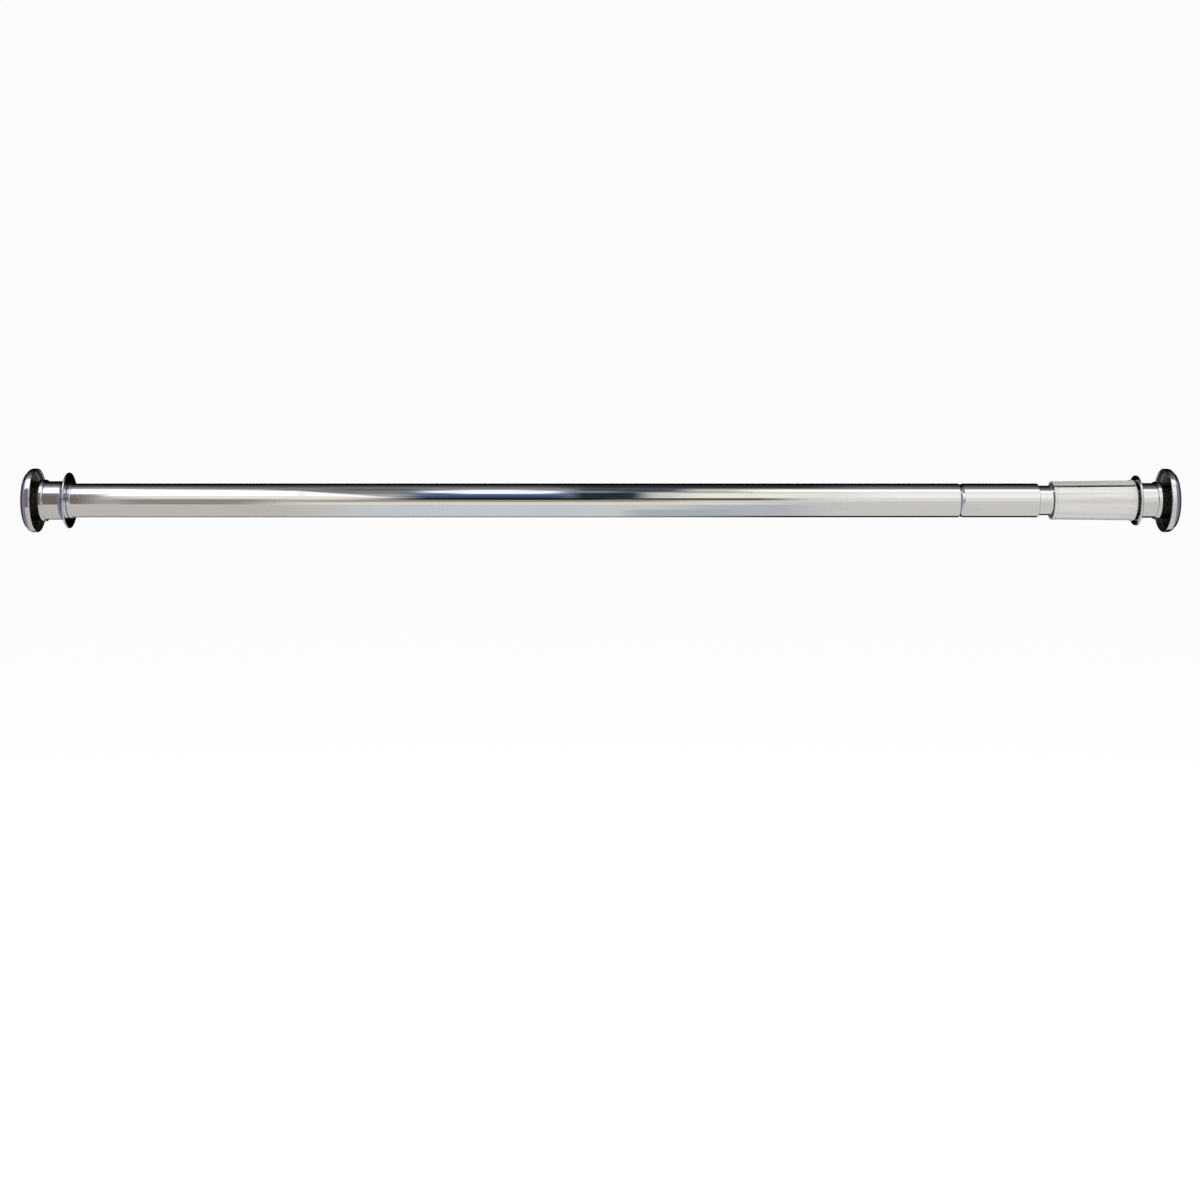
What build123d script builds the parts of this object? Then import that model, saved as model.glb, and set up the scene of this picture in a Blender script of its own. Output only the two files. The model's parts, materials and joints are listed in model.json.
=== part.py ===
from build123d import *
import os
from math import cos, radians, sin

# Telescopic doorway pull-up bar, in millimetres, in its fitted state.
# X runs along the bar from the left wall face to the right wall face, Z is up and the axis is Y = Z = 0.
# Every round piece is an outline of (x, radius) corners turned about X. A third number rounds the corner.

# Driving dimensions
wall_to_wall = 855.3
tube_radius = 12.7          # main tube, 1 in outside
tube_wall = 1.5
inner_radius = 11.1         # inner tube, 7/8 in outside
inner_wall = 1.2
tube_end_x = 753.7          # where the inner tube comes out of the main tube
crimp_x = 696.2             # rolled groove that holds the nut insert
sleeve_start_x, sleeve_end_x = 764.2, 825.4
spindle_radius, spindle_pitch = 8.0, 4.0
travel_out, travel_in = 32.0, 4.5
sheet = 1.5                 # pressed flange dishes
dish_corner, root_fillet, edge_rounding = 3.2, 1.2, 0.6
dish_depth = 7.5            # from the wall to the dish's lip
bead_length, bead_flare, bead_fillet = 2.6, 3.6, 0.4    # rolled end of the dish's collar
pad_thickness, pad_radius, pad_rounding = 1.2, 20.8, 0.2
lip_edge, mouth_edge = 0.5, 0.4             # roundings on the sockets' lips and mouths
screw_hole_radius, screw_circle_radius, screw_count = 1.9, 18.4, 3
weld_x, weld_radius, weld_angle = 8.3, 2.2, radians(45)    # plug weld hole in the left collar
weld_start, weld_depth = 0.5, 2    # its cutter starts under the neck and clears the collar

# Roundings on small pieces
small_edge, lead_in = 0.4, 0.8

# Fits
running_gap = 0.05          # a piece that turns or slides in its own bore
tube_gap = 0.1              # tube in tube
socket_gap = 0.3            # bar end in its socket
thread_gap = 0.15           # nut bore clear of the spindle's crests

tube_bore = tube_radius - tube_wall
inner_bore = inner_radius - inner_wall
web_x = pad_thickness + sheet               # floor of each socket, from its wall

# The two flanges, measured from their own wall
flanges = {
    "left": {
        "dish_radius": 23.9, "collar": 15.0, "bead": 15.6, "collar_end": 14.2,
        "neck": 14.4, "bore": tube_radius + socket_gap,
        "flare_rounding": 4.4, "lip": 20.9, "lip_back": 29.9, "lip_face": 31.4,
    },
    "right": {
        "dish_radius": 23.75, "collar": 13.6, "bead": 14.1, "collar_end": 14.3,
        "neck": 13.0, "bore": inner_radius + socket_gap,
        "flare_rounding": 1.0, "lip": 18.7, "lip_back": 26.9, "lip_face": 28.7,
    },
}

os.makedirs("parts", exist_ok=True)


def turned(*corners, mode=Mode.ADD):
    # Turns a closed outline of (x, radius) or (x, radius, rounding) corners about the bar's axis
    points = [corner[:2] for corner in corners]
    roundings = [corner[2] if len(corner) > 2 else 0 for corner in corners]
    with BuildSketch(Plane.XZ) as outline:
        with BuildLine():
            FilletPolyline(*points, radius=roundings, close=True)
        make_face()
    revolve(outline.sketch, axis=Axis.X, mode=mode)


def ring(start_x, end_x, bore, radius, rounding=0.3):
    # A plain ring or disc with its outside edges eased
    turned((start_x, bore), (start_x, radius, rounding), (end_x, radius, rounding), (end_x, bore))


def from_wall(side, corners):
    # Corners measured from a wall, moved to that wall
    if side == "left":
        return corners
    return [(wall_to_wall - x, *rest) for x, *rest in corners]


def screw_holes(side):
    # Three through holes for the wall screws, one of them at the top
    start = Plane.YZ if side == "left" else Plane.YZ.offset(wall_to_wall - web_x)
    with BuildSketch(start) as holes:
        with PolarLocations(screw_circle_radius, screw_count, start_angle=90):
            Circle(screw_hole_radius)
    extrude(holes.sketch, amount=web_x, mode=Mode.SUBTRACT)


def plug_weld_hole(neck):
    # Hole in the collar, low on its front, through which it is welded to the socket's root
    weld_plane = Plane(
        origin=(weld_x, 0, 0), x_dir=(1, 0, 0), z_dir=(0, -cos(weld_angle), -sin(weld_angle)))
    with BuildSketch(weld_plane.offset(neck - weld_start)) as weld:
        Circle(weld_radius)
    extrude(weld.sketch, amount=weld_depth, mode=Mode.SUBTRACT)


def keep(piece, name):
    piece.part.label = name
    export_step(piece.part, f"parts/{name}.step")


def make_flange(side, size):
    # Rubber pad against the wall
    with BuildPart() as wall_pad:
        turned(*from_wall(side, [
            (0, 0), (0, pad_radius, pad_rounding), (pad_thickness, pad_radius, pad_rounding),
            (pad_thickness, 0)]))
        screw_holes(side)
    keep(wall_pad, f"{side}_wall_pad")

    # Pressed dish, open towards the bar. Its drawn collar grips the socket's root and flares to a rolled bead
    rim, neck, collar, bead = size["dish_radius"], size["neck"], size["collar"], size["bead"]
    collar_end = size["collar_end"]
    bead_start = collar_end - bead_length
    with BuildPart() as dish:
        turned(*from_wall(side, [
            (pad_thickness, 0), (pad_thickness, rim, dish_corner), (dish_depth, rim, edge_rounding),
            (dish_depth, rim - sheet, edge_rounding), (web_x, rim - sheet, dish_corner - sheet),
            (web_x, collar, root_fillet), (bead_start - bead_flare, collar), (bead_start, bead, bead_fillet),
            (collar_end, bead, bead_fillet), (collar_end, neck), (web_x, neck), (web_x, 0)]))
        screw_holes(side)
        if side == "left":
            plug_weld_hole(neck)
    keep(dish, f"{side}_flange_dish")

    # Socket, flared out to the lip at its mouth
    lip, flare, back, face = size["lip"], size["flare_rounding"], size["lip_back"], size["lip_face"]
    with BuildPart() as socket:
        turned(*from_wall(side, [
            (web_x, size["bore"]), (web_x, neck), (back, neck, flare), (back, lip, lip_edge),
            (face, lip, lip_edge), (face, size["bore"], mouth_edge)]))
    keep(socket, f"{side}_flange_socket")


for side_name, sizes in flanges.items():
    make_flange(side_name, sizes)

# Left end: the tube turns round a nylon bush that stands still on a rubber pad in the socket
end_pad_thickness, end_pad_radius = 1.5, 12.2
bush_head_thickness, bush_head_radius, bush_spigot_length, bush_bore = 2.5, 12.5, 16, 8.0
left_pad_end = web_x + end_pad_thickness
bush_head_end = left_pad_end + bush_head_thickness
tube_start_x = bush_head_end + running_gap
bush_end = tube_start_x + bush_spigot_length
spigot_radius = tube_bore - running_gap

with BuildPart() as left_end_pad:
    ring(web_x, left_pad_end, 0, end_pad_radius)
keep(left_end_pad, "left_end_pad")

with BuildPart() as left_end_bush:
    turned(
        (left_pad_end, 0), (left_pad_end, bush_head_radius, small_edge),
        (bush_head_end, bush_head_radius, small_edge), (bush_head_end, spigot_radius),
        (bush_end, spigot_radius, lead_in), (bush_end, bush_bore), (bush_head_end, bush_bore, 1.0),
        (bush_head_end, 0))
keep(left_end_bush, "left_end_bush")

# Ferrule on the main tube, just outside the left lip: it sets how deep the tube goes
ferrule_width, ferrule_height, ferrule_edge = 2.7, 0.7, 0.25
ferrule_start = flanges["left"]["lip_face"] + socket_gap
with BuildPart() as left_tube_ring:
    ring(
        ferrule_start, ferrule_start + ferrule_width, tube_radius, tube_radius + ferrule_height,
        ferrule_edge)
keep(left_tube_ring, "left_tube_ring")

# Main tube with the rolled groove, and a stake mark in the groove on the front
crimp_depth, crimp_half, crimp_rounding = 0.85, 1.6, 0.8
crimp_left, crimp_right = crimp_x - crimp_half, crimp_x + crimp_half
stake_tip_radius, stake_radius, stake_depth, stake_height = 0.3, 1.1, 1.5, 1.6
with BuildPart() as main_tube:
    turned(
        (tube_start_x, tube_bore), (tube_start_x, tube_radius, small_edge),
        (crimp_left, tube_radius, crimp_rounding), (crimp_x, tube_radius - crimp_depth, crimp_rounding),
        (crimp_right, tube_radius, crimp_rounding), (tube_end_x, tube_radius, small_edge),
        (tube_end_x, tube_bore), (crimp_right, tube_bore), (crimp_x, tube_bore - crimp_depth),
        (crimp_left, tube_bore))
    with Locations(Plane(origin=(crimp_x, -tube_radius, stake_height), z_dir=(0, -1, 0))):
        Cone(
            bottom_radius=stake_tip_radius, top_radius=stake_radius, height=2 * stake_depth,
            mode=Mode.SUBTRACT)
keep(main_tube, "main_tube")

# Nut insert, gripped by the rolled groove. Its plain bore stands for the internal thread
nut_half, nut_bore = 7.5, spindle_radius + thread_gap
nut_start, nut_end = crimp_x - nut_half, crimp_x + nut_half
with BuildPart() as nut_insert:
    turned(
        (nut_start, nut_bore), (nut_start, tube_bore, small_edge), (crimp_left, tube_bore),
        (crimp_x, tube_bore - crimp_depth), (crimp_right, tube_bore), (nut_end, tube_bore, small_edge),
        (nut_end, nut_bore))
keep(nut_insert, "nut_insert")

# Inner tube, from inside the main tube to the floor of the right socket
plug_head, plug_clearance = 1.5, 1.3
plug_head_start = nut_end + travel_in + plug_clearance
inner_start_x = plug_head_start + plug_head
cap_head, cap_spigot, cap_inset = 2.6, 12, 0.1
inner_end_x = wall_to_wall - web_x - cap_head
with BuildPart() as inner_tube:
    ring(inner_start_x, inner_end_x, inner_bore, inner_radius)
keep(inner_tube, "inner_tube")

with BuildPart() as right_end_cap:
    turned(
        (inner_end_x - cap_spigot, 0), (inner_end_x - cap_spigot, inner_bore, lead_in),
        (inner_end_x, inner_bore), (inner_end_x, inner_radius - cap_inset),
        (inner_end_x + cap_head, inner_radius - cap_inset, edge_rounding), (inner_end_x + cap_head, 0))
keep(right_end_cap, "right_end_cap")

# Spindle: threaded part, a journal in the plug at its right end and one for the guide at its left end
journal_radius, guide_journal_radius = 7.0, 6.0
plug_length, plug_inset = 20, 0.2
plug_end = inner_start_x + plug_length
pin_radius, pin_x, pin_inset = 2.0, inner_start_x + 11, 0.3
guide_clearance, guide_length = 0.5, 6
washer_thickness, washer_radius = 1.6, 10.4
lock_nut_height, lock_nut_flat, lock_nut_chamfer = 8, 9.5, 0.4
spindle_tip = 2
guide_end = nut_start - travel_out - guide_clearance
guide_start = guide_end - guide_length
washer_start = guide_start - washer_thickness
lock_nut_start = washer_start - lock_nut_height
spindle_start = lock_nut_start - spindle_tip
root_radius, crest_width, flank_width = 5.9, 1.3, 0.55
thread_lead_in, thread_run_out = 2, 1
thread_length = plug_head_start - guide_end - thread_lead_in - thread_run_out
thread_count = int(thread_length // spindle_pitch)

thread_corners = []
for turn in range(thread_count):
    crest = guide_end + thread_lead_in + turn * spindle_pitch
    thread_corners += [
        (crest + crest_width, spindle_radius), (crest + crest_width + flank_width, root_radius),
        (crest + spindle_pitch - flank_width, root_radius), (crest + spindle_pitch, spindle_radius)]

with BuildPart() as threaded_spindle:
    turned(
        (spindle_start, 0), (spindle_start, guide_journal_radius, lead_in), (guide_end, guide_journal_radius),
        (guide_end, spindle_radius), *thread_corners, (plug_head_start, spindle_radius),
        (plug_head_start, journal_radius), (plug_end, journal_radius), (plug_end, 0))
    with BuildSketch(Plane.XY.offset(-spindle_radius)) as pin_hole:
        with Locations((pin_x, 0)):
            Circle(pin_radius)
    extrude(pin_hole.sketch, amount=2 * spindle_radius, mode=Mode.SUBTRACT)
keep(threaded_spindle, "threaded_spindle")

with BuildPart() as spindle_end_plug:
    turned(
        (plug_head_start, journal_radius), (plug_head_start, inner_radius - plug_inset, small_edge),
        (inner_start_x, inner_radius - plug_inset), (inner_start_x, inner_bore),
        (plug_end, inner_bore, small_edge), (plug_end, journal_radius))
    with BuildSketch(Plane.XY.offset(-inner_bore)) as pin_hole:
        with Locations((pin_x, 0)):
            Circle(pin_radius)
    extrude(pin_hole.sketch, amount=2 * inner_bore, mode=Mode.SUBTRACT)
keep(spindle_end_plug, "spindle_end_plug")

with BuildPart() as spindle_cross_pin:
    with BuildSketch(Plane.XY.offset(pin_inset - inner_bore)) as pin_end:
        with Locations((pin_x, 0)):
            Circle(pin_radius)
    extrude(pin_end.sketch, amount=2 * (inner_bore - pin_inset))
keep(spindle_cross_pin, "spindle_cross_pin")

# Guide, washer and lock nut at the spindle's left end, which meet the nut insert at full reach
with BuildPart() as spindle_guide:
    ring(guide_start, guide_end, guide_journal_radius, tube_bore - tube_gap, edge_rounding)
keep(spindle_guide, "spindle_guide")

with BuildPart() as spindle_washer:
    ring(washer_start, guide_start, guide_journal_radius, washer_radius)
keep(spindle_washer, "spindle_washer")

with BuildPart() as spindle_lock_nut:
    with BuildSketch(Plane.YZ.offset(lock_nut_start)) as hexagon:
        RegularPolygon(radius=lock_nut_flat, side_count=6, major_radius=False)
        Circle(guide_journal_radius, mode=Mode.SUBTRACT)
    extrude(hexagon.sketch, amount=washer_start - lock_nut_start)
    nut_edges = spindle_lock_nut.edges().filter_by(GeomType.LINE).filter_by(Axis.X)
    chamfer(nut_edges, length=lock_nut_chamfer)
keep(spindle_lock_nut, "spindle_lock_nut")

# Split cover sleeve that slides along the inner tube, slightly tapered, with a rolled rim and an end bead.
# Its open seam runs its whole length, above the front
sleeve_bore_start, sleeve_bore_end, sleeve_wall = 13.3, 14.05, 0.9
rim_width, rim_height, bead_width, bead_height = 1.7, 0.25, 2.5, 0.35
rim_edge, shoulder, bead_edge = 0.4, 0.5, 0.8
seam_width, seam_angle, seam_overrun = 2.2, radians(47), 1
sleeve_length = sleeve_end_x - sleeve_start_x


def sleeve_bore(x):
    return sleeve_bore_start + (sleeve_bore_end - sleeve_bore_start) * (x - sleeve_start_x) / sleeve_length


def sleeve_outside(x):
    return sleeve_bore(x) + sleeve_wall


rim_x, bead_x = sleeve_start_x + rim_width, sleeve_end_x - bead_width
rim_radius = sleeve_outside(sleeve_start_x) + rim_height
bead_radius = sleeve_outside(sleeve_end_x) + bead_height
with BuildPart() as cover_sleeve:
    turned(
        (sleeve_start_x, sleeve_bore(sleeve_start_x)), (sleeve_start_x, rim_radius, rim_edge),
        (rim_x, rim_radius, rim_edge), (rim_x + shoulder, sleeve_outside(rim_x + shoulder)),
        (bead_x - shoulder, sleeve_outside(bead_x - shoulder)), (bead_x, bead_radius, rim_edge),
        (sleeve_end_x, bead_radius, bead_edge), (sleeve_end_x, sleeve_bore(sleeve_end_x)))
    seam_plane = Plane(
        origin=(sleeve_start_x + sleeve_length / 2, 0, 0), x_dir=(1, 0, 0),
        z_dir=(0, -cos(seam_angle), sin(seam_angle)))
    with BuildSketch(seam_plane) as seam:
        Rectangle(sleeve_length + 2 * seam_overrun, seam_width)
    extrude(seam.sketch, amount=bead_radius + seam_overrun, mode=Mode.SUBTRACT)
keep(cover_sleeve, "cover_sleeve")

# Nylon ring in the sleeve's right end, with an O-ring that drags on the inner tube
guide_ring_inset, guide_ring_width = 0.5, 8
guide_ring_end = sleeve_end_x - guide_ring_inset
guide_ring_start = guide_ring_end - guide_ring_width
ring_bore = inner_radius + running_gap
o_ring_x, o_ring_section = guide_ring_end - guide_ring_width / 2, 0.9
groove_half, groove_gap = 1.2, 0.1
groove_radius = ring_bore + 2 * o_ring_section + groove_gap
with BuildPart() as sleeve_guide_ring:
    turned(
        (guide_ring_start, ring_bore), (guide_ring_start, sleeve_bore(guide_ring_start)),
        (guide_ring_end, sleeve_bore(guide_ring_end)), (guide_ring_end, ring_bore),
        (o_ring_x + groove_half, ring_bore), (o_ring_x + groove_half, groove_radius),
        (o_ring_x - groove_half, groove_radius), (o_ring_x - groove_half, ring_bore))
keep(sleeve_guide_ring, "sleeve_guide_ring")

with BuildPart() as sleeve_o_ring:
    with BuildSketch(Plane.XZ) as section:
        with Locations((o_ring_x, ring_bore + o_ring_section)):
            Circle(o_ring_section)
    revolve(section.sketch, axis=Axis.X)
keep(sleeve_o_ring, "sleeve_o_ring")
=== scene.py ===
# Doorway pull-up bar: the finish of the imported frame, in metres. X runs along the bar and Z is up.
import json
import math

import bpy
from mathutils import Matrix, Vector


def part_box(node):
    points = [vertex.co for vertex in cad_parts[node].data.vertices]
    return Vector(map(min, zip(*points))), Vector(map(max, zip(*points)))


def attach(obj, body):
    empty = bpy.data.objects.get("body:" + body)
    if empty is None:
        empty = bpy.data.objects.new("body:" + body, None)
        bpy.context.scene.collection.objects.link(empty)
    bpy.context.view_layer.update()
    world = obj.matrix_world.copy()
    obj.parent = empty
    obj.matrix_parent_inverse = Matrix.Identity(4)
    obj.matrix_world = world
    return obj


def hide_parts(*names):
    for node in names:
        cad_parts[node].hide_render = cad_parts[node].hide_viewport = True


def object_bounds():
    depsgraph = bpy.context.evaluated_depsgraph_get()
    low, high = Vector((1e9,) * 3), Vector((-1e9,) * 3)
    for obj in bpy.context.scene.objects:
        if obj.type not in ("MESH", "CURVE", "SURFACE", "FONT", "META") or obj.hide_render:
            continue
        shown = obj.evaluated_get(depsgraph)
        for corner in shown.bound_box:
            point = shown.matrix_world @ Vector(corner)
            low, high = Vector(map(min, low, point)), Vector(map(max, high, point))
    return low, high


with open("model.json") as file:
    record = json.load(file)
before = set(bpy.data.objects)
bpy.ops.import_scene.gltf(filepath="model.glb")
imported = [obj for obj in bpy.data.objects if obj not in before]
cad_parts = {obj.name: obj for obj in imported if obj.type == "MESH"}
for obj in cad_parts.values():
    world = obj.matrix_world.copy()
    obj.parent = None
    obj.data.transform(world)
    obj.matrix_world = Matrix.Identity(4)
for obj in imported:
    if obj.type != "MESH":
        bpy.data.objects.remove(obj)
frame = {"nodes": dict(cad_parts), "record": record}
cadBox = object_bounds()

mm = 0.001
roundSteps = 144            # faces round each turned piece
holeSides = 40              # faces round each hole's tool
arcStep = 11                # degrees, the longest step along a rounding
smoothAngle = math.radians(32)
longRun, supportGap = 2.5 * mm, 0.25 * mm   # straight runs this long get rings this far from their ends
nodeLow = {name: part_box(name)[0] for name in frame["nodes"]}
nodeHigh = {name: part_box(name)[1] for name in frame["nodes"]}
leftWall, rightWall = cadBox[0].x, cadBox[1].x


# Modelling helpers

def startAlone():
    if bpy.context.object and bpy.context.object.mode != "OBJECT":
        bpy.ops.object.mode_set(mode="OBJECT")
    bpy.ops.object.select_all(action="DESELECT")


def roundedOutline(corners):
    # Corners are (x, radius, rounding). Each rounding becomes an arc of short steps
    stations = []
    for place, (x, radius, rounding) in enumerate(corners):
        corner = Vector((x, radius))
        if not rounding:
            stations.append(corner)
            continue
        toLast = (Vector(corners[place - 1][:2]) - corner).normalized()
        toNext = (Vector(corners[(place + 1) % len(corners)][:2]) - corner).normalized()
        halfAngle = toLast.angle(toNext) / 2
        middle = corner + (toLast + toNext).normalized() * rounding / math.sin(halfAngle)
        first = corner + toLast * rounding / math.tan(halfAngle) - middle
        last = corner + toNext * rounding / math.tan(halfAngle) - middle
        turn = first.angle(last)
        steps = max(2, math.ceil(math.degrees(turn) / arcStep))
        for step in range(steps + 1):
            share = step / steps
            reach = first * math.sin((1 - share) * turn) + last * math.sin(share * turn)
            stations.append(middle + reach / math.sin(turn))
    # A long straight run gets a ring close to each of its ends, so that its shading stays true
    supported = stations[:1]
    for here, there in zip(stations, stations[1:]):
        run = there - here
        if run.length > longRun:
            supported += [here + run.normalized() * supportGap, there - run.normalized() * supportGap]
        supported.append(there)
    return supported


def turnPiece(name, corners):
    # Draws the outline as a chain of edges above the axis and spins it about X.
    # An outline that starts and ends on the axis makes a solid disc, and any other closes on itself
    stations = roundedOutline(corners)
    solid = corners[0][1] == 0
    startAlone()
    bpy.ops.mesh.primitive_plane_add(size=mm, location=(stations[0].x, 0, stations[0].y))
    piece = bpy.context.active_object
    piece.name = piece.data.name = name
    bpy.ops.object.transform_apply()
    bpy.ops.object.mode_set(mode="EDIT")
    bpy.ops.mesh.select_all(action="SELECT")
    bpy.ops.mesh.merge(type="CENTER")
    route = stations if solid else stations + stations[:1]
    for here, there in zip(route, route[1:]):
        move = (there.x - here.x, 0, there.y - here.y)
        bpy.ops.mesh.extrude_region_move(TRANSFORM_OT_translate={"value": move})
    bpy.ops.mesh.select_all(action="SELECT")
    bpy.ops.mesh.remove_doubles(threshold=1e-6)
    bpy.ops.mesh.spin(steps=roundSteps, angle=2 * math.pi, center=(0, 0, 0), axis=(1, 0, 0))
    bpy.ops.mesh.select_all(action="SELECT")
    bpy.ops.mesh.remove_doubles(threshold=2e-6)
    bpy.ops.mesh.normals_make_consistent(inside=False)
    bpy.ops.object.mode_set(mode="OBJECT")
    return piece


def cutAway(piece, cutters):
    # Cuts each tool out of the piece and deletes the tool
    for tool in cutters:
        startAlone()
        piece.select_set(True)
        bpy.context.view_layer.objects.active = piece
        cut = piece.modifiers.new("cut", "BOOLEAN")
        cut.operation, cut.solver, cut.object = "DIFFERENCE", "EXACT", tool
        bpy.ops.object.modifier_apply(modifier=cut.name)
        bpy.data.meshes.remove(tool.data)


def coneTool(x, radius, otherRadius, depth, around, centreRadius):
    # A cone or cylinder along X, at an angle round the bar measured from straight up
    startAlone()
    place = (x, centreRadius * math.sin(around), centreRadius * math.cos(around))
    bpy.ops.mesh.primitive_cone_add(vertices=holeSides, radius1=radius, radius2=otherRadius, depth=depth,
                                    location=place, rotation=(0, math.radians(90), 0))
    bpy.ops.object.transform_apply()
    return bpy.context.active_object


def finishPiece(piece, body, material, replaced):
    startAlone()
    piece.select_set(True)
    bpy.context.view_layer.objects.active = piece
    bpy.ops.object.shade_smooth_by_angle(angle=smoothAngle)
    piece.data.materials.clear()
    piece.data.materials.append(material)
    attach(piece, body)
    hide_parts(*replaced)
    print("made", piece.name)


# Node groups shared by the materials. The noise scales are per metre, along the bar and across it
grain = {"haze": (18, 40), "hairlines": (25, 2600), "rings": (5200, 20), "broadStreaks": (7, 330),
         "narrowStreaks": (9, 1300), "rubPatches": (34, 60), "rubStrokes": (2400, 150),
         "specks": (1500, 1500), "skin": (3500, 3500), "mottle": (90, 90)}
pebbleScale = 1400.0


def newGroup(name, inputs, outputs):
    group = bpy.data.node_groups.new(name, "ShaderNodeTree")
    for label, kind, value in inputs:
        socket = group.interface.new_socket(name=label, in_out="INPUT", socket_type=kind)
        if value is not None:
            socket.default_value = value
    for label, kind in outputs:
        group.interface.new_socket(name=label, in_out="OUTPUT", socket_type=kind)
    start = group.nodes.new("NodeGroupInput")
    end = group.nodes.new("NodeGroupOutput")
    return group, start.outputs, end.inputs


def addNode(tree, kind, **settings):
    node = tree.nodes.new("ShaderNode" + kind)
    for label, value in settings.items():
        setattr(node, label, value)
    return node


def feed(tree, node, operands):
    # Each operand is a number or a socket. Returns the node's first output
    for socket, operand in zip(node.inputs, operands):
        if isinstance(operand, (int, float)):
            socket.default_value = operand
        else:
            tree.links.new(operand, socket)
    return node.outputs[0]


def sumUp(tree, operation, *operands):
    return feed(tree, addNode(tree, "Math", operation=operation), operands)


def rescale(tree, value, fromLow, fromHigh, toLow, toHigh, smooth=True):
    node = addNode(tree, "MapRange", interpolation_type="SMOOTHSTEP" if smooth else "LINEAR")
    return feed(tree, node, (value, fromLow, fromHigh, toLow, toHigh))


def stretchedNoise(tree, name, detail):
    # Noise on Object coordinates, with its own scale along and across the bar
    along, across = grain[name]
    coordinates = addNode(tree, "TexCoord")
    mapping = addNode(tree, "Mapping")
    mapping.inputs["Scale"].default_value = (along, across, across)
    noise = addNode(tree, "TexNoise")
    noise.inputs["Scale"].default_value = 1.0
    noise.inputs["Detail"].default_value = detail
    tree.links.new(coordinates.outputs["Object"], mapping.inputs["Vector"])
    tree.links.new(mapping.outputs[0], noise.inputs["Vector"])
    return noise.outputs[0]


def makePolishGroup():
    # Plated or brushed metal: hazy patches, hairlines and streaks along the bar, and fine rings round it
    group, given, result = newGroup(
        "polish",
        [("Roughness", "NodeSocketFloat", 0.05), ("Haze", "NodeSocketFloat", 0.04),
         ("Hairlines", "NodeSocketFloat", 0.3), ("Rings", "NodeSocketFloat", 0.3)],
        [("Roughness", "NodeSocketFloat"), ("Height", "NodeSocketFloat"), ("Streaks", "NodeSocketFloat")])
    haze = stretchedNoise(group, "haze", 4)
    hairlines = stretchedNoise(group, "hairlines", 2)
    rings = stretchedNoise(group, "rings", 2)
    patches = rescale(group, haze, 0.35, 0.75, 0.0, 1.0)
    lines = rescale(group, hairlines, 0.45, 0.8, 0.0, 1.0)
    worn = sumUp(group, "MULTIPLY", sumUp(group, "MULTIPLY", lines, patches), 0.5)
    spread = sumUp(group, "MULTIPLY", sumUp(group, "ADD", patches, worn), given["Haze"])
    group.links.new(sumUp(group, "ADD", given["Roughness"], spread), result["Roughness"])
    lineHeight = sumUp(group, "MULTIPLY", hairlines, given["Hairlines"])
    ringHeight = sumUp(group, "MULTIPLY", rings, given["Rings"])
    group.links.new(sumUp(group, "ADD", lineHeight, ringHeight), result["Height"])
    broad = rescale(group, stretchedNoise(group, "broadStreaks", 2), 0.42, 0.66, 0.0, 1.0)
    narrow = rescale(group, stretchedNoise(group, "narrowStreaks", 2), 0.45, 0.70, 0.0, 0.6)
    group.links.new(sumUp(group, "MAXIMUM", broad, narrow), result["Streaks"])
    return group


def makeScuffGroup():
    # A few short rub marks round the bar, and specks of dust
    group, given, result = newGroup(
        "scuffs",
        [("Amount", "NodeSocketFloat", 0.5)],
        [("Marks", "NodeSocketFloat"), ("Specks", "NodeSocketFloat")])
    where = rescale(group, stretchedNoise(group, "rubPatches", 1), 0.60, 0.72, 0.0, 1.0)
    strokes = rescale(group, stretchedNoise(group, "rubStrokes", 2), 0.56, 0.70, 0.0, 1.0)
    marks = sumUp(group, "MULTIPLY", sumUp(group, "MULTIPLY", where, strokes), given["Amount"])
    group.links.new(marks, result["Marks"])
    specks = rescale(group, stretchedNoise(group, "specks", 1), 0.72, 0.80, 0.0, 1.0)
    group.links.new(sumUp(group, "MULTIPLY", specks, given["Amount"]), result["Specks"])
    return group


def makeSkinGroup():
    # Moulded plastic or rubber: a pebbled skin with broad, slow mottling
    group, given, result = newGroup(
        "mouldedSkin",
        [("Fineness", "NodeSocketFloat", 1.0)],
        [("Mottle", "NodeSocketFloat"), ("Height", "NodeSocketFloat")])
    coordinates = addNode(group, "TexCoord")
    pebbles = addNode(group, "TexVoronoi", feature="SMOOTH_F1")
    group.links.new(coordinates.outputs["Object"], pebbles.inputs["Vector"])
    group.links.new(sumUp(group, "MULTIPLY", given["Fineness"], pebbleScale), pebbles.inputs["Scale"])
    fine = stretchedNoise(group, "skin", 3)
    group.links.new(sumUp(group, "ADD", pebbles.outputs["Distance"], fine), result["Height"])
    mottle = stretchedNoise(group, "mottle", 4)
    group.links.new(rescale(group, mottle, 0.3, 0.7, 0.0, 1.0), result["Mottle"])
    return group


polishGroup, scuffGroup, skinGroup = makePolishGroup(), makeScuffGroup(), makeSkinGroup()


def placeGroup(tree, group, **values):
    node = addNode(tree, "Group")
    node.node_tree = group
    for label, value in values.items():
        node.inputs[label].default_value = value
    return node.outputs


def blendColours(tree, share, clean, worn):
    mix = addNode(tree, "Mix", data_type="RGBA")
    tree.links.new(share, mix.inputs[0])
    mix.inputs[6].default_value, mix.inputs[7].default_value = (*clean, 1), (*worn, 1)
    return mix.outputs[2]


def addBump(tree, shader, height, distance, strength):
    # distance is the bump's full height in metres
    bump = addNode(tree, "Bump")
    bump.inputs["Distance"].default_value, bump.inputs["Strength"].default_value = distance, strength
    tree.links.new(height, bump.inputs["Height"])
    tree.links.new(bump.outputs[0], shader.inputs["Normal"])


# Materials, with the depth of their relief

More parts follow.
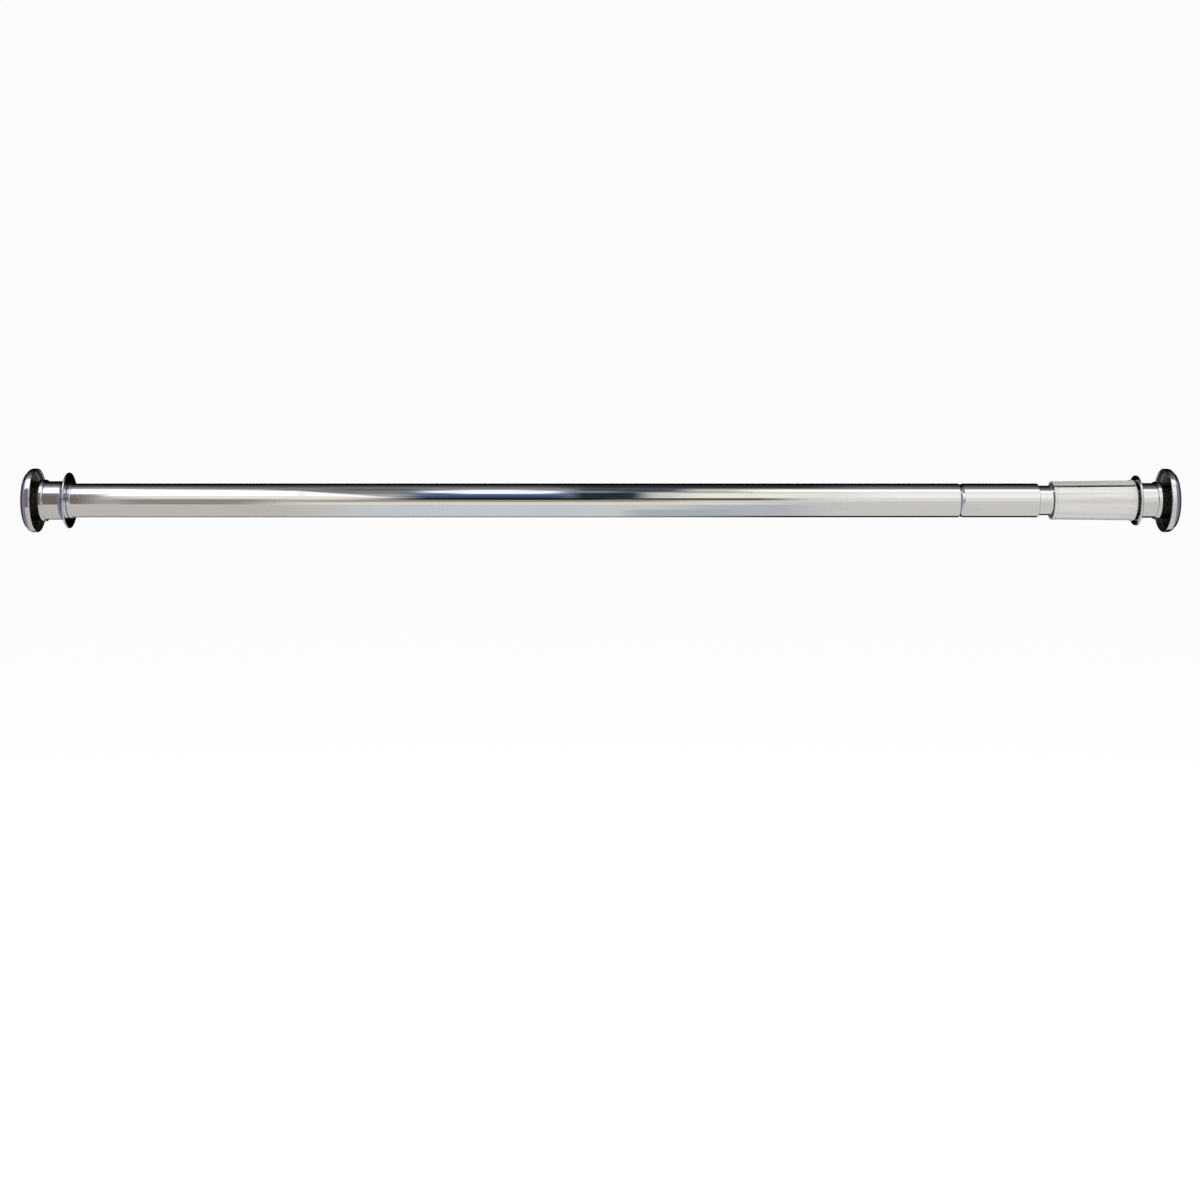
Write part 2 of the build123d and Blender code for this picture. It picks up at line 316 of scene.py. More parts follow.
metalRelief, mouldedRelief = 0.02 * mm, 0.05 * mm
metalFinishes = {
    "tubeChrome": {
        "clean": (0.84, 0.84, 0.84), "worn": (0.62, 0.61, 0.60), "roughness": 0.035, "haze": 0.035,
        "hairlines": 0.5, "rings": 0.25, "bump": 0.05, "scuffs": 0.6, "metallic": 1.0, "streaks": 0.05},
    "flangeChrome": {
        "clean": (0.80, 0.80, 0.81), "worn": (0.52, 0.50, 0.48), "roughness": 0.05, "haze": 0.05,
        "hairlines": 0.1, "rings": 0.6, "bump": 0.08, "scuffs": 0.7, "metallic": 1.0, "streaks": 0.05},
    # Darkened chrome: painted shade and painted dark reflections for the inside of each dish
    "paintedShadeChrome": {
        "clean": (0.25, 0.245, 0.20), "worn": (0.11, 0.105, 0.08), "roughness": 0.16, "haze": 0.15,
        "hairlines": 0.2, "rings": 0.8, "bump": 0.25, "scuffs": 1.0, "metallic": 1.0, "streaks": 0.2},
    "satinSleeve": {
        "clean": (0.72, 0.715, 0.695), "worn": (0.60, 0.575, 0.555), "roughness": 0.34, "haze": 0.12,
        "hairlines": 1.0, "rings": 0.1, "bump": 0.22, "scuffs": 0.5, "metallic": 0.45, "streaks": 1.0},
    "zincSteel": {
        "clean": (0.50, 0.50, 0.48), "worn": (0.33, 0.32, 0.30), "roughness": 0.32, "haze": 0.12,
        "hairlines": 0.3, "rings": 0.8, "bump": 0.30, "scuffs": 1.0, "metallic": 1.0, "streaks": 0.1},
}
mouldedFinishes = {
    "blackNylon": {"clean": (0.022, 0.022, 0.022), "worn": (0.045, 0.044, 0.042), "roughness": 0.42,
                   "fineness": 0.8, "bump": 0.15},
    "blackRubber": {"clean": (0.018, 0.018, 0.018), "worn": (0.040, 0.039, 0.037), "roughness": 0.68,
                    "fineness": 1.0, "bump": 0.45},
}


def makeMetal(name, finish):
    material = bpy.data.materials.new(name)
    material.use_nodes = True
    tree = material.node_tree
    shader = tree.nodes["Principled BSDF"]
    shader.inputs["Metallic"].default_value = finish["metallic"]
    polish = placeGroup(tree, polishGroup, Roughness=finish["roughness"], Haze=finish["haze"],
                        Hairlines=finish["hairlines"], Rings=finish["rings"])
    scuffs = placeGroup(tree, scuffGroup, Amount=finish["scuffs"])
    marks = sumUp(tree, "ADD", scuffs["Marks"], sumUp(tree, "MULTIPLY", scuffs["Specks"], 0.4))
    wear = sumUp(tree, "MAXIMUM", marks, sumUp(tree, "MULTIPLY", polish["Streaks"], finish["streaks"]))
    tree.links.new(blendColours(tree, wear, finish["clean"], finish["worn"]), shader.inputs["Base Color"])
    rough = sumUp(tree, "ADD", polish["Roughness"], sumUp(tree, "MULTIPLY", scuffs["Marks"], 0.25))
    tree.links.new(rough, shader.inputs["Roughness"])
    height = sumUp(tree, "SUBTRACT", polish["Height"], scuffs["Marks"])
    addBump(tree, shader, height, metalRelief, finish["bump"])
    return material


def makeMoulded(name, finish):
    material = bpy.data.materials.new(name)
    material.use_nodes = True
    tree = material.node_tree
    shader = tree.nodes["Principled BSDF"]
    skin = placeGroup(tree, skinGroup, Fineness=finish["fineness"])
    tree.links.new(blendColours(tree, skin["Mottle"], finish["clean"], finish["worn"]),
                   shader.inputs["Base Color"])
    rough = rescale(tree, skin["Mottle"], 0.0, 1.0, finish["roughness"] - 0.06, finish["roughness"] + 0.08)
    tree.links.new(rough, shader.inputs["Roughness"])
    addBump(tree, shader, skin["Height"], mouldedRelief, finish["bump"])
    return material


materials = {name: makeMetal(name, finish) for name, finish in metalFinishes.items()}
materials.update({name: makeMoulded(name, finish) for name, finish in mouldedFinishes.items()})
slotMaterials = {"tube_chrome": "tubeChrome", "flange_chrome": "flangeChrome", "satin_sleeve": "satinSleeve",
                 "plain_steel": "zincSteel", "nylon": "blackNylon", "black_rubber": "blackRubber"}
print("materials ready:", ", ".join(materials))


# Flanges: pad, dish and socket at each wall, with sizes in millimetres

flangeSheet, dishDepth, dishCorner, dishLipRound, rootRound, socketRound = 1.5, 7.5, 3.2, 0.7, 1.2, 0.6
flanges = {
    "left": {"collar": 15.0, "bead": 15.6, "neck": 14.4, "bore": 13.0, "lipThickness": 1.5,
             "lipRadius": 20.9, "flare": 4.4},
    "right": {"collar": 13.6, "bead": 14.1, "neck": 13.0, "bore": 11.4, "lipThickness": 1.8,
              "lipRadius": 18.7, "flare": 1.0},
}
# How far the painted shade inside each dish keeps from its edges, in millimetres
recessMargin = {"web": 0.8, "rim": 0.3, "wall": 0.05, "bead": 0.2, "collar": 1}
collarBead = {"length": 2.6, "flare": 3.6, "flareRound": 1.5, "round": 0.55}
padGroove = {"depth": 0.35, "innerRadius": 8.6, "outerRadius": 10.8, "slope": 0.4}
plugWeld = {"x": 8.3 * mm, "radius": 2.2 * mm, "angle": math.radians(45), "depth": 0.5 * mm}
screwHoles = {"count": 3, "circle": 18.4 * mm, "radius": 1.9 * mm, "sinkRadius": 2.5 * mm,
              "sinkDepth": 0.7 * mm, "sinkOverrun": 0.05 * mm, "webOverrun": 0.4}


def fromWall(wall, direction, corners):
    # Millimetres from the wall become metres along X
    return [(wall + direction * x * mm, radius * mm, rounding * mm) for x, radius, rounding in corners]


def screwTools(x, otherX, sunkX, direction):
    # Straight tools from x to otherX, and a countersink where the screw head sits
    middle, depth = (x + otherX) / 2, abs(otherX - x)
    tools = []
    for hole in range(screwHoles["count"]):
        around = 2 * math.pi * hole / screwHoles["count"]
        tools.append(coneTool(middle, screwHoles["radius"], screwHoles["radius"], depth, around,
                              screwHoles["circle"]))
        if sunkX is None:
            continue
        mouth, deep = screwHoles["sinkRadius"], screwHoles["radius"]
        low, high = (deep, mouth) if direction > 0 else (mouth, deep)
        sinkDepth = screwHoles["sinkDepth"]
        sinkX = sunkX - direction * (sinkDepth / 2 - screwHoles["sinkOverrun"])
        tools.append(coneTool(sinkX, low, high, sinkDepth, around, screwHoles["circle"]))
    return tools


def plugWeldTool(collar):
    # A cylinder that stands on the left collar, low on its front
    angle, depth = plugWeld["angle"], 2 * plugWeld["depth"]
    place = (leftWall + plugWeld["x"], -collar * math.cos(angle), -collar * math.sin(angle))
    startAlone()
    bpy.ops.mesh.primitive_cylinder_add(vertices=holeSides, radius=plugWeld["radius"], depth=depth,
                                        location=place, rotation=(math.radians(90) - angle, 0, 0))
    bpy.ops.object.transform_apply()
    return bpy.context.active_object


def paintRecessShade(dish, wall, direction, web, rim, beadStart, inside):
    # Painted shade: the dish's floor, inner wall and collar take a darkened chrome that stands in for the
    # shade and dark reflections inside the dish
    dish.data.materials.append(materials["paintedShadeChrome"])
    for face in dish.data.polygons:
        depth = direction * (face.center.x - wall) / mm
        radius = math.hypot(face.center.y, face.center.z) / mm
        floorStart, recessEnd = web - recessMargin["web"], rim - recessMargin["rim"]
        inDish = floorStart < depth < recessEnd and radius < inside + recessMargin["wall"]
        onCollar = recessEnd <= depth < beadStart - recessMargin["bead"]
        if inDish or (onCollar and radius < inside - recessMargin["collar"]):
            face.material_index = 1


def makeFlange(side, flange):
    direction = 1 if side == "left" else -1
    wall = leftWall if side == "left" else rightWall
    body = side + "_flange"
    padNode, dishNode, socketNode = side + "_wall_pad", side + "_flange_dish", side + "_flange_socket"
    padDepth = (nodeHigh[padNode].x - nodeLow[padNode].x) / mm
    padRadius, dishRadius = nodeHigh[padNode].z / mm, nodeHigh[dishNode].z / mm
    socketEnd = (nodeHigh[socketNode].x - wall if direction > 0 else wall - nodeLow[socketNode].x) / mm
    collarEnd = (nodeHigh[dishNode].x - wall if direction > 0 else wall - nodeLow[dishNode].x) / mm
    web, rim = padDepth + flangeSheet, dishDepth

    # Rubber pad with a ring-shaped groove moulded into its wall face
    groove, slope = padGroove["depth"], padGroove["slope"]
    innerEdge, outerEdge = padGroove["innerRadius"], padGroove["outerRadius"]
    pad = turnPiece(side + "WallPad", fromWall(wall, direction, [
        (0, 0, 0), (0, innerEdge, 0.15), (groove, innerEdge + slope, 0.1), (groove, outerEdge - slope, 0.1),
        (0, outerEdge, 0.15), (0, padRadius, 0.25), (padDepth, padRadius, 0.15), (padDepth, 0, 0)]))
    cutAway(pad, screwTools(wall - direction * mm, wall + direction * 2 * padDepth * mm, None, direction))
    finishPiece(pad, body, materials["blackRubber"], [padNode])

    # Pressed dish with a rolled lip. Its drawn collar flares to a rolled bead
    neck, collar, bead, beadRound = flange["neck"], flange["collar"], flange["bead"], collarBead["round"]
    inside, beadStart = dishRadius - flangeSheet, collarEnd - collarBead["length"]
    dish = turnPiece(side + "Dish", fromWall(wall, direction, [
        (padDepth, 0, 0), (padDepth, dishRadius, dishCorner), (rim, dishRadius, dishLipRound),
        (rim, inside, dishLipRound), (web, inside, dishCorner - flangeSheet), (web, collar, rootRound),
        (beadStart - collarBead["flare"], collar, collarBead["flareRound"]), (beadStart, bead, beadRound),
        (collarEnd, bead, beadRound), (collarEnd, neck, 0), (web, neck, 0), (web, 0, 0)]))
    throughWeb = wall + direction * (web + screwHoles["webOverrun"]) * mm
    tools = screwTools(wall, throughWeb, wall + direction * web * mm, direction)
    if side == "left":
        tools.append(plugWeldTool(collar * mm))
    cutAway(dish, tools)
    finishPiece(dish, body, materials["flangeChrome"], [dishNode])
    # Painted shade inside the dish and on its collar
    paintRecessShade(dish, wall, direction, web, rim, beadStart, inside)

    # Socket with its neck flared out to the lip
    lip, bore, back = flange["lipRadius"], flange["bore"], socketEnd - flange["lipThickness"]
    socket = turnPiece(side + "Socket", fromWall(wall, direction, [
        (web, bore, 0), (web, neck, 0), (back, neck, flange["flare"]), (back, lip, socketRound),
        (socketEnd, lip, socketRound), (socketEnd, bore, socketRound)]))
    finishPiece(socket, body, materials["flangeChrome"], [socketNode])


for sideName, flangeSizes in flanges.items():
    makeFlange(sideName, flangeSizes)


# Main tube, its ferrule and the inner tube

mainTube = {"bore": 11.2 * mm, "endRound": 0.4 * mm, "boreRound": 0.2 * mm, "grooveDepth": 0.85 * mm,
            "grooveHalf": 1.6 * mm, "grooveRound": 0.8 * mm, "land": 4 * mm,
            "grooveX": (nodeLow["nut_insert"].x + nodeHigh["nut_insert"].x) / 2,
            "stakeHeight": 1.6 * mm, "stakeRadius": 1.25 * mm, "stakeDepth": 1.4 * mm}
ferrule = {"edgeRound": 0.28 * mm, "groove": 0.12 * mm, "grooveRound": 0.05 * mm}
innerTube = {"bore": 9.9 * mm, "endRound": 0.3 * mm}


def makeMainTube():
    low, high = nodeLow["main_tube"], nodeHigh["main_tube"]
    radius, bore, groove = high.z, mainTube["bore"], mainTube["grooveX"]
    half, deep, land = mainTube["grooveHalf"], mainTube["grooveDepth"], mainTube["land"]
    rounding, endRound = mainTube["grooveRound"], mainTube["endRound"]
    tube = turnPiece("mainTube", [
        (low.x, bore, 0), (low.x, radius, endRound), (groove - land, radius, 0),
        (groove - half, radius, rounding), (groove, radius - deep, rounding),
        (groove + half, radius, rounding), (groove + land, radius, 0), (high.x, radius, endRound),
        (high.x, bore, mainTube["boreRound"]),
        (groove + half, bore, 0), (groove, bore - deep, 0), (groove - half, bore, 0)])
    # Three-cornered stake mark, pressed into the groove from the front
    startAlone()
    depth = 2 * mainTube["stakeDepth"]
    bpy.ops.mesh.primitive_cone_add(vertices=3, radius1=0, radius2=mainTube["stakeRadius"], depth=depth,
                                    location=(groove, -radius, mainTube["stakeHeight"]),
                                    rotation=(math.radians(90), 0, 0))
    bpy.ops.object.transform_apply()
    cutAway(tube, [bpy.context.active_object])
    finishPiece(tube, "main_tube", materials["tubeChrome"], ["main_tube"])


def makeFerrule():
    low, high = nodeLow["left_tube_ring"], nodeHigh["left_tube_ring"]
    edge, middle = ferrule["edgeRound"], (low.x + high.x) / 2
    groove, rounding = ferrule["groove"], ferrule["grooveRound"]
    ring = turnPiece("tubeFerrule", [
        (low.x, nodeHigh["main_tube"].z, 0), (low.x, high.z, edge), (middle - groove, high.z, rounding),
        (middle, high.z - groove, rounding), (middle + groove, high.z, rounding), (high.x, high.z, edge),
        (high.x, nodeHigh["main_tube"].z, 0)])
    finishPiece(ring, "main_tube", materials["tubeChrome"], ["left_tube_ring"])


def makeInnerTube():
    low, high = nodeLow["inner_tube"], nodeHigh["inner_tube"]
    bore, edge = innerTube["bore"], innerTube["endRound"]
    tube = turnPiece("innerTube", [
        (low.x, bore, 0), (low.x, high.z, edge), (high.x, high.z, edge), (high.x, bore, 0)])
    finishPiece(tube, "inner_tube", materials["tubeChrome"], ["inner_tube"])


makeMainTube()
makeFerrule()
makeInnerTube()


# Split cover sleeve and its guide ring

coverSleeve = {"wall": 0.9 * mm, "rimWidth": 1.7 * mm, "rimHeight": 0.25 * mm, "beadWidth": 2.5 * mm,
               "beadHeight": 0.35 * mm, "slotWidth": 2.2 * mm, "slotAngle": math.radians(47),
               "startBore": 13.3 * mm, "endBore": 14.05 * mm, "step": 0.5 * mm, "startRound": 0.35 * mm,
               "rimRound": 0.6 * mm, "stepRound": 0.3 * mm, "bodyRound": 0.2 * mm, "endRound": 0.8 * mm,
               "slotReach": 2 * mm, "slotOverrun": 4 * mm}
guideRing = {"gap": 0.05 * mm, "grooveHalf": 1.2 * mm, "grooveDepth": 1.9 * mm, "edgeRound": 0.3 * mm}


def sleeveBore(x):
    low, high = nodeLow["cover_sleeve"].x, nodeHigh["cover_sleeve"].x
    share = (x - low) / (high - low)
    return coverSleeve["startBore"] * (1 - share) + coverSleeve["endBore"] * share


def makeSleeve():
    start, end = nodeLow["cover_sleeve"].x, nodeHigh["cover_sleeve"].x
    wall, rim, bead = coverSleeve["wall"], start + coverSleeve["rimWidth"], end - coverSleeve["beadWidth"]
    rimRadius = sleeveBore(start) + wall + coverSleeve["rimHeight"]
    beadRadius = sleeveBore(end) + wall + coverSleeve["beadHeight"]
    step, stepRound, bodyRound = coverSleeve["step"], coverSleeve["stepRound"], coverSleeve["bodyRound"]
    sleeve = turnPiece("coverSleeve", [
        (start, sleeveBore(start), coverSleeve["startRound"]), (start, rimRadius, coverSleeve["rimRound"]),
        (rim, rimRadius, stepRound), (rim + step, sleeveBore(rim + step) + wall, bodyRound),
        (bead - step, sleeveBore(bead - step) + wall, bodyRound), (bead, beadRadius, stepRound),
        (end, beadRadius, coverSleeve["endRound"]), (end, sleeveBore(end), bodyRound)])
    # Open seam along the sleeve, above its front
    startAlone()
    reach = beadRadius / 2 + coverSleeve["slotReach"]
    angle = coverSleeve["slotAngle"]
    place = ((start + end) / 2, -reach * math.cos(angle), reach * math.sin(angle))
    bpy.ops.mesh.primitive_cube_add(size=1, location=place, rotation=(-angle, 0, 0))
    slot = bpy.context.active_object
    slot.scale = (end - start + coverSleeve["slotOverrun"], beadRadius, coverSleeve["slotWidth"])
    bpy.ops.object.transform_apply()
    cutAway(sleeve, [slot])
    finishPiece(sleeve, "cover_sleeve", materials["satinSleeve"], ["cover_sleeve"])


def makeGuideRing():
    low, high = nodeLow["sleeve_guide_ring"], nodeHigh["sleeve_guide_ring"]
    bore = nodeHigh["inner_tube"].z + guideRing["gap"]
    middle = (nodeLow["sleeve_o_ring"].x + nodeHigh["sleeve_o_ring"].x) / 2
    half, deep, edge = guideRing["grooveHalf"], guideRing["grooveDepth"], guideRing["edgeRound"]
    ring = turnPiece("guideRing", [
        (low.x, bore, edge), (low.x, sleeveBore(low.x), edge), (high.x, sleeveBore(high.x), edge),
        (high.x, bore, edge), (middle + half, bore, 0), (middle + half, bore + deep, 0),
        (middle - half, bore + deep, 0), (middle - half, bore, 0)])
    finishPiece(ring, "cover_sleeve", materials["blackNylon"], ["sleeve_guide_ring"])


makeSleeve()
makeGuideRing()


# CAD pieces that stay take the finish of their slot

for entry in frame["record"]["subparts"]:
    node = frame["nodes"][entry["node"]]
    for place in node.material_slots:
        place.material = materials[slotMaterials[entry["material_slot"]]]
print("inner pieces dressed")


# Studio: pale floor, soft lights, and a tent of panels that only the metal sees

tent = {"radius": 0.9, "length": 3.2, "centre": 0.43, "reflectance": 0.84, "gamma": 2.2, "tilt": 3.5,
        "walls": (0.76, 0.765, 0.75), "ends": (0.47, 0.43, 0.56)}
# Each panel: colour as it shows in the metal, then its angle round the bar from the front (degrees, up is 90)
# and its stretch along the bar (metres), each as (from, to, softness), then how its upper edge falls or rises
# in degrees per metre
tentPanels = {
    "floorCool": ((0.74, 0.77, 0.79), (-200, -12, 6), (0.12, 0.46, 0.08), 0),
    "floorShade": ((0.68, 0.69, 0.715), (-200, -12, 6), (0.54, 0.70, 0.05), 0),
    "floorShadeLow": ((0.64, 0.67, 0.695), (-200, -62, 8), (0.47, 0.60, 0.02), 0),
    "overheadHigh": ((0.45, 0.45, 0.45), (84, 200, 8), (-2, 3, 0.1), 0),
    "overheadLeft": ((0.55, 0.55, 0.55), (84, 200, 6), (-2, -0.06, 0.06), 0),
    "overheadMiddle": ((0.27, 0.27, 0.28), (104, 200, 10), (-2, 3, 0.1), 0),
    "overheadDim": ((0.19, 0.19, 0.20), (94, 200, 9), (0.39, 0.72, 0.05), 0),
    "overheadBack": ((0.04, 0.04, 0.045), (126, 200, 14), (-2, 3, 0.1), 0),
    "leftGap": ((0.47, 0.49, 0.48), (26, 92, 7), (0.03, 0.24, 0.02), 0),
    "leftGapHigh": ((0.32, 0.36, 0.38), (74, 90, 5), (0.11, 0.22, 0.03), 0),
    "leftSoftbox": ((1.05, 1.05, 1.06), (46, 86, 5), (-0.6, -0.17, 0.01), 0),
    "leftSoftboxMiddle": ((1.05, 1.05, 1.04), (31, 88, 5), (-0.17, 0.07, 0.01), -75),
    "leftTipGlow": ((0.64, 0.63, 0.61), (26, 52, 6), (0.10, 0.21, 0.03), -60),
    "leftSoftboxTip": ((1.02, 1.02, 1.01), (26, 68, 4), (0.07, 0.19, 0.01), -400),
    "leftGlow": ((0.88, 0.86, 0.84), (14, 32, 5), (-0.13, 0.12, 0.03), 0),
    "farLeftPurple": ((0.46, 0.43, 0.53), (28, 46, 4), (-0.9, -0.18, 0.02), 0),
    "farLeftShade": ((0.43, 0.40, 0.375), (-22, 32, 4), (-0.9, -0.18, 0.03), 0),
    "leftShade": ((0.53, 0.52, 0.49), (-24, 12, 5), (-0.17, 0.04, 0.05), 0),
    "leftCream": ((0.90, 0.885, 0.85), (16, 30, 5), (-0.04, 0.17, 0.03), 0),
    "blueShade": ((0.31, 0.37, 0.54), (28, 54, 4), (0.21, 0.41, 0.03), 0),
    "blueDeep": ((0.20, 0.25, 0.35), (12, 32, 5), (0.20, 0.41, 0.03), 0),
    "windowGap": ((0.48, 0.48, 0.51), (52, 96, 4), (0.22, 0.40, 0.02), 0),
    "windowLow": ((0.95, 0.99, 1.00), (48, 64, 3), (0.26, 0.375, 0.02), 0),
    "windowBlade": ((0.95, 0.99, 1.00), (55, 72, 3), (0.22, 0.395, 0.02), 0),
    "windowHigh": ((0.95, 0.99, 1.00), (66, 80, 3), (0.26, 0.35, 0.03), 0),
    "darkRoom": ((0.155, 0.20, 0.22), (10, 60, 5), (0.40, 0.49, 0.015), 0),
    "darkRoomTop": ((0.26, 0.30, 0.32), (60, 96, 5), (0.40, 0.54, 0.02), 0),
    "darkRoomGlow": ((0.46, 0.51, 0.54), (56, 70, 4), (0.39, 0.455, 0.02), 0),
    "creamWall": ((0.92, 0.895, 0.855), (20, 52, 4), (0.535, 0.74, 0.035), 0),
    "rightWall": ((0.84, 0.835, 0.82), (-4, 44, 10), (0.70, 3, 0.05), 0),
    "rightGlow": ((0.93, 0.93, 0.92), (20, 58, 10), (0.74, 3, 0.06), 0),
    "rightSoftbox": ((1.02, 1.02, 1.00), (62, 82, 5), (0.615, 3, 0.05), 0),
    "rightSeam": ((0.56, 0.56, 0.56), (57, 65, 4), (0.52, 0.61, 0.03), 0),
    "benchEdge": ((0.10, 0.10, 0.10), (5, 18, 3), (0.17, 0.48, 0.07), 0),
    "benchEdgeRight": ((0.27, 0.26, 0.22), (5, 18, 3), (0.46, 0.66, 0.04), 0),
    "benchBack": ((0.56, 0.53, 0.48), (-10, 4, 4), (0.06, 0.52, 0.06), 0),
    "bench": ((0.85, 0.82, 0.77), (-26, -7, 4), (0.05, 0.66, 0.08), 0),
    "leftFloor": ((0.72, 0.70, 0.68), (-140, -26, 3), (-2, 0.10, 0.08), 0),
    "rightFloor": ((0.765, 0.755, 0.735), (-140, -10, 12), (0.74, 3, 0.08), 0),
    "leftFar": ((0.47, 0.45, 0.52), (-140, 34, 8), (-3, -0.36, 0.05), 0),
    "rightFar": ((0.51, 0.49, 0.58), (-140, 76, 8), (1.28, 3, 0.05), 0),
    "behindLow": ((0.36, 0.36, 0.36), (-200, -138, 6), (-2, 0.55, 0.08), 0),
    "behindLowRight": ((0.03, 0.03, 0.03), (-200, -126, 6), (0.55, 3, 0.12), 0),
    "behindDark": ((0.02, 0.02, 0.02), (-200, -164, 5), (-2, 3, 0.1), 0),
}
studio = {"floorBelow": 0.62, "floorSize": 60, "floorColour": (0.90, 0.90, 0.895),
          "worldColour": (1.0, 1.0, 1.0), "worldStrength": 1.08, "lampSize": 1.0, "lampPower": 9}
lampPlaces = {"softLeft": (-0.7, -1.1, 1.4), "softRight": (1.7, -1.0, 1.3)}
viewCamera = {"distance": 1.378, "along": 0.4138, "lens": 55.3, "shiftX": 0.015, "shiftY": -0.083}


def asLight(colour):
    # Turns a shown colour into the light that the metal has to reflect to show it
    return [channel ** tent["gamma"] / tent["reflectance"] for channel in colour]


def makePanelGroup():
    number, colour = "NodeSocketFloat", "NodeSocketColor"
    group, given, result = newGroup(
        "tentPanel",
        [("Under", colour, None), ("Panel", colour, None), ("Angle", number, 0), ("Along", number, 0),
         ("AngleFrom", number, 0), ("AngleTo", number, 0), ("AngleSoft", number, 1),
         ("AlongFrom", number, 0), ("AlongTo", number, 0), ("AlongSoft", number, 1), ("Slant", number, 0)],
        [("Colour", colour)])
    share = None
    along = sumUp(group, "SUBTRACT", given["Along"], given["AlongFrom"])
    slanted = sumUp(group, "MULTIPLY", along, given["Slant"])
    for axis in ("Angle", "Along"):
        for edge, inside, outside in (("From", 1.0, 0.0), ("To", 0.0, 1.0)):
            place = given[axis + edge]
            if axis == "Angle" and edge == "To":
                place = sumUp(group, "ADD", place, slanted)
            low = sumUp(group, "SUBTRACT", place, given[axis + "Soft"])
            high = sumUp(group, "ADD", place, given[axis + "Soft"])
            mask = rescale(group, given[axis], low, high, outside, inside)
            share = mask if share is None else sumUp(group, "MULTIPLY", share, mask)
    mix = addNode(group, "Mix", data_type="RGBA")
    group.links.new(share, mix.inputs[0])
    group.links.new(given["Under"], mix.inputs[6])
    group.links.new(given["Panel"], mix.inputs[7])
    group.links.new(mix.outputs[2], result["Colour"])
    return group


def makeTent():
    startAlone()
    bpy.ops.mesh.primitive_cylinder_add(vertices=96, radius=tent["radius"], depth=tent["length"],
                                        location=(tent["centre"], 0, 0), rotation=(0, math.radians(90), 0))
    shell = bpy.context.active_object
    shell.name = "reflectorTent"
    bpy.ops.object.transform_apply()
    material = bpy.data.materials.new("tentPanels")
    material.use_nodes = True
    tree = material.node_tree
    tree.nodes.clear()
    coordinates, split = addNode(tree, "TexCoord"), addNode(tree, "SeparateXYZ")
    tree.links.new(coordinates.outputs["Object"], split.inputs[0])
    x, y, z = split.outputs
    angle = sumUp(tree, "MULTIPLY_ADD", sumUp(tree, "ARCTAN2", z, sumUp(tree, "MULTIPLY", y, -1.0)),
                  math.degrees(1), tent["tilt"])
    group = makePanelGroup()
    under = addNode(tree, "RGB")
    under.outputs[0].default_value = (*asLight(tent["walls"]), 1)
    colour = under.outputs[0]
    for name, (shown, angles, stretch, slant) in tentPanels.items():
        outputs = placeGroup(tree, group, Panel=(*asLight(shown), 1), AngleFrom=angles[0], AngleTo=angles[1],
                             AngleSoft=angles[2], AlongFrom=stretch[0], AlongTo=stretch[1],
                             AlongSoft=stretch[2], Slant=slant)
        panel = tree.nodes[-1]
        panel.label = name
        tree.links.new(colour, panel.inputs["Under"])
        tree.links.new(angle, panel.inputs["Angle"])
        tree.links.new(x, panel.inputs["Along"])
        colour = outputs["Colour"]
    # The two flat ends of the tent
    fromMiddle = sumUp(tree, "ABSOLUTE", sumUp(tree, "SUBTRACT", x, tent["centre"]))
    onEnd = sumUp(tree, "GREATER_THAN", fromMiddle, tent["length"] / 2 - mm)
    mix = addNode(tree, "Mix", data_type="RGBA")
    tree.links.new(onEnd, mix.inputs[0])
    tree.links.new(colour, mix.inputs[6])
    mix.inputs[7].default_value = (*asLight(tent["ends"]), 1)
    emission, output = addNode(tree, "Emission"), addNode(tree, "OutputMaterial")
    tree.links.new(mix.outputs[2], emission.inputs["Color"])
    tree.links.new(emission.outputs[0], output.inputs["Surface"])
    shell.data.materials.append(material)
    shell.visible_camera = shell.visible_diffuse = shell.visible_shadow = False
    shell.visible_transmission = shell.visible_volume_scatter = False


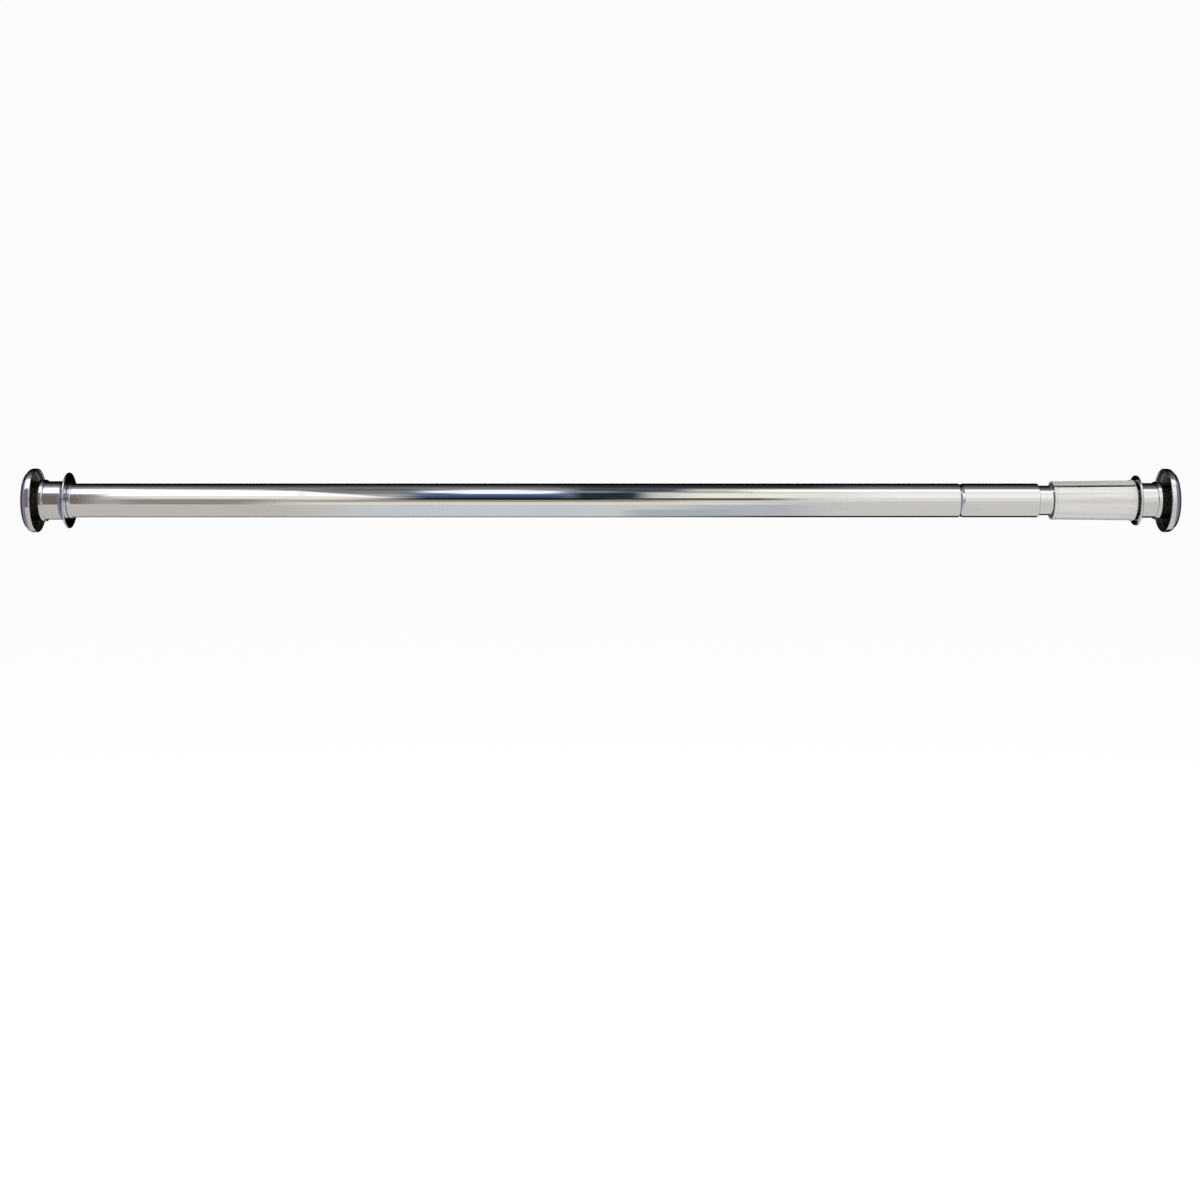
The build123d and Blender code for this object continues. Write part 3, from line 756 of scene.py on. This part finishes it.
def makeFloor():
    startAlone()
    place = (tent["centre"], 0, -studio["floorBelow"])
    bpy.ops.mesh.primitive_plane_add(size=studio["floorSize"], location=place)
    floor = bpy.context.active_object
    floor.name = "paleFloor"
    material = bpy.data.materials.new("palePaper")
    material.use_nodes = True
    shader = material.node_tree.nodes["Principled BSDF"]
    shader.inputs["Base Color"].default_value = (*studio["floorColour"], 1)
    shader.inputs["Roughness"].default_value = 0.9
    shader.inputs["Specular IOR Level"].default_value = 0.0
    floor.data.materials.append(material)
    floor.visible_glossy = False


def makeLights():
    middle = Vector((tent["centre"], 0, 0))
    for name, place in lampPlaces.items():
        lamp = bpy.data.lights.new(name, "AREA")
        lamp.size, lamp.energy = studio["lampSize"], studio["lampPower"]
        holder = bpy.data.objects.new(name, lamp)
        bpy.context.scene.collection.objects.link(holder)
        holder.location = place
        holder.rotation_euler = (middle - Vector(place)).to_track_quat("-Z", "Y").to_euler()
        holder.visible_glossy = False
    # The room lights evenly, and its far wall looks as pale as the floor in front of it
    world = bpy.data.worlds.new("paleRoom")
    world.use_nodes = True
    tree = world.node_tree
    background, path = tree.nodes["Background"], addNode(tree, "LightPath")
    background.inputs["Color"].default_value = (*studio["worldColour"], 1)
    strength = rescale(tree, path.outputs["Is Camera Ray"], 0.0, 1.0, studio["worldStrength"],
                       studio["worldStrength"] * studio["floorColour"][0], smooth=False)
    tree.links.new(strength, background.inputs["Strength"])
    bpy.context.scene.world = world


def makeCamera():
    data = bpy.data.cameras.new("viewCamera")
    data.lens, data.sensor_width = viewCamera["lens"], 36
    data.shift_x, data.shift_y = viewCamera["shiftX"], viewCamera["shiftY"]
    data.clip_start, data.clip_end = 0.05, 100
    camera = bpy.data.objects.new("viewCamera", data)
    bpy.context.scene.collection.objects.link(camera)
    camera.location = (viewCamera["along"], -viewCamera["distance"], 0)
    camera.rotation_euler = (math.radians(90), 0, 0)
    bpy.context.scene.camera = camera


makeTent()
makeFloor()
makeLights()
makeCamera()
bpy.context.scene.view_settings.view_transform = "Standard"
print("studio ready")
